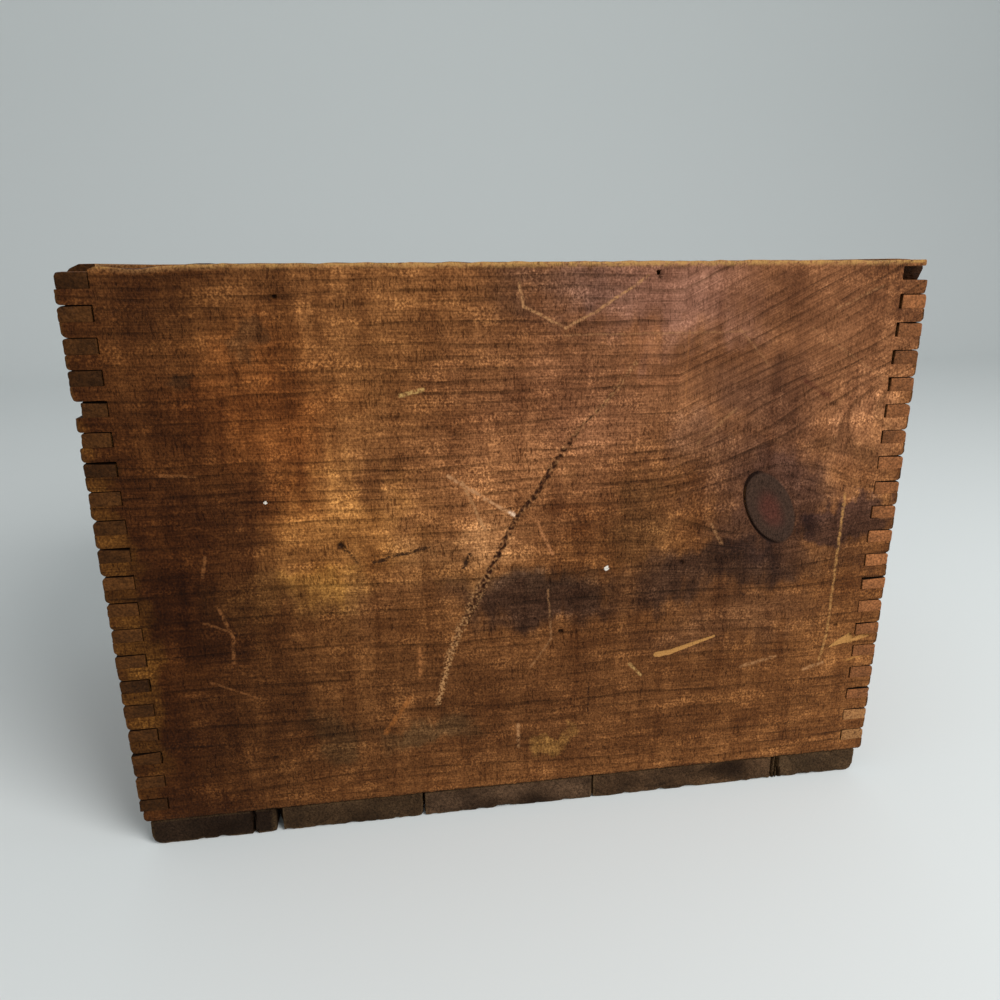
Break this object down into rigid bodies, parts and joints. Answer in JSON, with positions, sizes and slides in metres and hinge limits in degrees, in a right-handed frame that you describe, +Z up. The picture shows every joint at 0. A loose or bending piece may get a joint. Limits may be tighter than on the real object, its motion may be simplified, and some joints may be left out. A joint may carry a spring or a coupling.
{
  "type": "comb-jointed wooden box with hinged lid",
  "caption": "Comb-jointed aged pine packing box with crosswise base boards and an inset battened lid that swings up on pivot nails through its end boards.",
  "frame": {"origin": "on the ground under the middle of the box", "axes": "+Z up, the front faces -Y, +X to the right along the front"},
  "size_m": [0.3776, 0.245, 0.271],
  "materials": {
    "aged_pine_wall": "worn old varnish over planed pine, satin",
    "grey_pine_base": "bare sawn pine, grey with dirt, matt",
    "pine_lid": "bare planed pine darkened with age, matt",
    "iron_nail": "drawn steel wire, dull and rusty"
  },
  "bodies": {
    "box": {"front_board": "aged_pine_wall", "back_board": "aged_pine_wall", "left_end_board": "aged_pine_wall", "right_end_board": "aged_pine_wall", "base_board_1": "grey_pine_base", "base_board_2": "grey_pine_base", "base_board_3": "grey_pine_base", "base_board_4": "grey_pine_base", "base_board_5": "grey_pine_base", "base_nails": "iron_nail", "lid_rest_left": "pine_lid", "lid_rest_right": "pine_lid", "lid_rest_brads": "iron_nail", "pivot_nail_left": "iron_nail", "pivot_nail_right": "iron_nail"},
    "lid": {"lid_front_board": "pine_lid", "lid_back_board": "pine_lid", "lid_batten_left": "pine_lid", "lid_batten_right": "pine_lid", "lid_nails": "iron_nail"}
  },
  "joints": [
    {"name": "lid_hinge", "type": "hinge", "parent": "box", "child": "lid", "pos_m": [0, 0.10385, 0.26575], "axis": [-1, 0, 0], "range_deg": [0, 98]}
  ]
}
